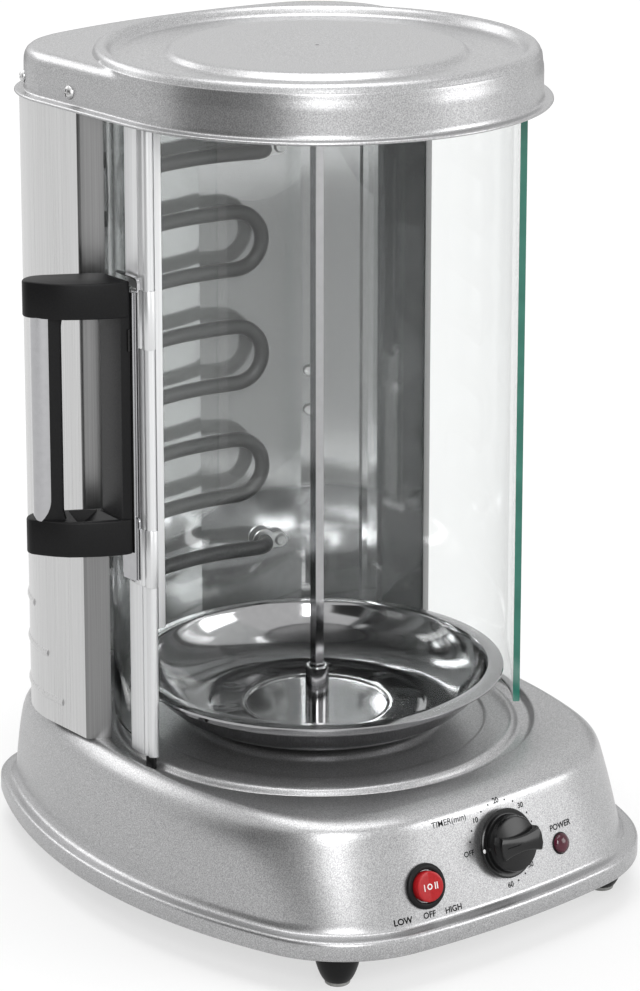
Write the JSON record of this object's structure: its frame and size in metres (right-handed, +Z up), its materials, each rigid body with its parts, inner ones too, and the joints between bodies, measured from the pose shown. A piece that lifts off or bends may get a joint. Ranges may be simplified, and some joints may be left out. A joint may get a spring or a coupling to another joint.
{
  "type": "vertical kebab grill",
  "caption": "Upright electric kebab grill: sloped base with controls, turning spit and drip pan, serpentine heater, curved glass door with side handle, round-fronted lid.",
  "frame": {"origin": "on the standing plane under the feet, at the spit axis", "axes": "+Z up along the spit, -Y towards the control panel, +X to the right as seen from the front"},
  "size_m": [0.2886, 0.3282, 0.4302],
  "materials": {
    "silver_paint": "silver paint with a fine sparkle",
    "zinc_steel": "plain zinc-plated steel",
    "black_plastic": "satin black",
    "black_gloss": "glossy black",
    "grey_rubber": "light grey pad",
    "bronze": "plain bearing bush",
    "polished_steel": "polished",
    "pale_plastic": "plain insulator",
    "white_mark": "white inlay",
    "red_plastic": "glossy red",
    "lamp_red": "dark red lens, unlit",
    "brushed_steel": "vertical brush lines",
    "mirror_steel": "bright reflector sheet",
    "heater_sheath": "dark oxidised tube",
    "clear_glass": "clear with green edge",
    "aluminium": "anodised extrusion"
  },
  "bodies": {
    "grill": {"base_shell": "silver_paint", "lid": "silver_paint", "base_plate": "zinc_steel", "base_screws": "zinc_steel", "motor_plate": "zinc_steel", "motor_screws": "zinc_steel", "gear_motor": "zinc_steel", "timer_nut": "zinc_steel", "housing_screws": "zinc_steel", "reflector_screws": "zinc_steel", "bracket_screws": "zinc_steel", "lid_screws": "zinc_steel", "lid_liner": "zinc_steel", "feet": "black_plastic", "timer_body": "black_plastic", "lamp_body": "black_plastic", "cord_gland": "black_plastic", "switch_body": "black_gloss", "foot_pads": "grey_rubber", "drive_bush": "bronze", "upper_bearing": "pale_plastic", "lamp_lens": "lamp_red", "terminal_block": "pale_plastic", "thermal_cutout": "pale_plastic", "heater_terminals": "pale_plastic", "rear_housing": "brushed_steel", "reflector": "mirror_steel", "heater": "heater_sheath", "heater_bends": "heater_sheath", "heater_brackets": "zinc_steel"},
    "door": {"glass_pane": "clear_glass", "door_profile": "aluminium", "door_carrier": "black_plastic", "carrier_glides": "pale_plastic", "profile_foot": "black_plastic", "profile_clips": "aluminium", "handle_bracket": "zinc_steel", "handle_frame": "black_plastic", "grip_bar": "polished_steel", "grip_backing": "black_plastic", "handle_screws": "zinc_steel"},
    "carousel": {"drive_coupling": "zinc_steel", "drip_pan": "polished_steel", "spit_socket": "polished_steel", "spit": "polished_steel"},
    "timer": {"timer_shaft": "zinc_steel", "timer_knob": "black_gloss", "knob_mark": "white_mark"},
    "rocker": {"rocker_cap": "red_plastic"}
  },
  "joints": [
    {"name": "door_turn", "type": "hinge", "parent": "grill", "child": "door", "pos_m": [0, 0, 0.085], "axis": [0, 0, 1], "range_deg": [0, 190]},
    {"name": "spit_spin", "type": "hinge", "parent": "grill", "child": "carousel", "pos_m": [0, 0, 0.085], "axis": [0, 0, 1], "continuous": true},
    {"name": "timer_turn", "type": "hinge", "parent": "grill", "child": "timer", "pos_m": [0.0017, -0.14223, 0.0538], "axis": [-0.0033, 0.9603, -0.279], "range_deg": [0, 270]},
    {"name": "rocker_tilt", "type": "hinge", "parent": "grill", "child": "rocker", "pos_m": [-0.0486, -0.14227, 0.0453], "axis": [0.0278, 0.2776, 0.9603], "range_deg": [-10, 10]}
  ]
}
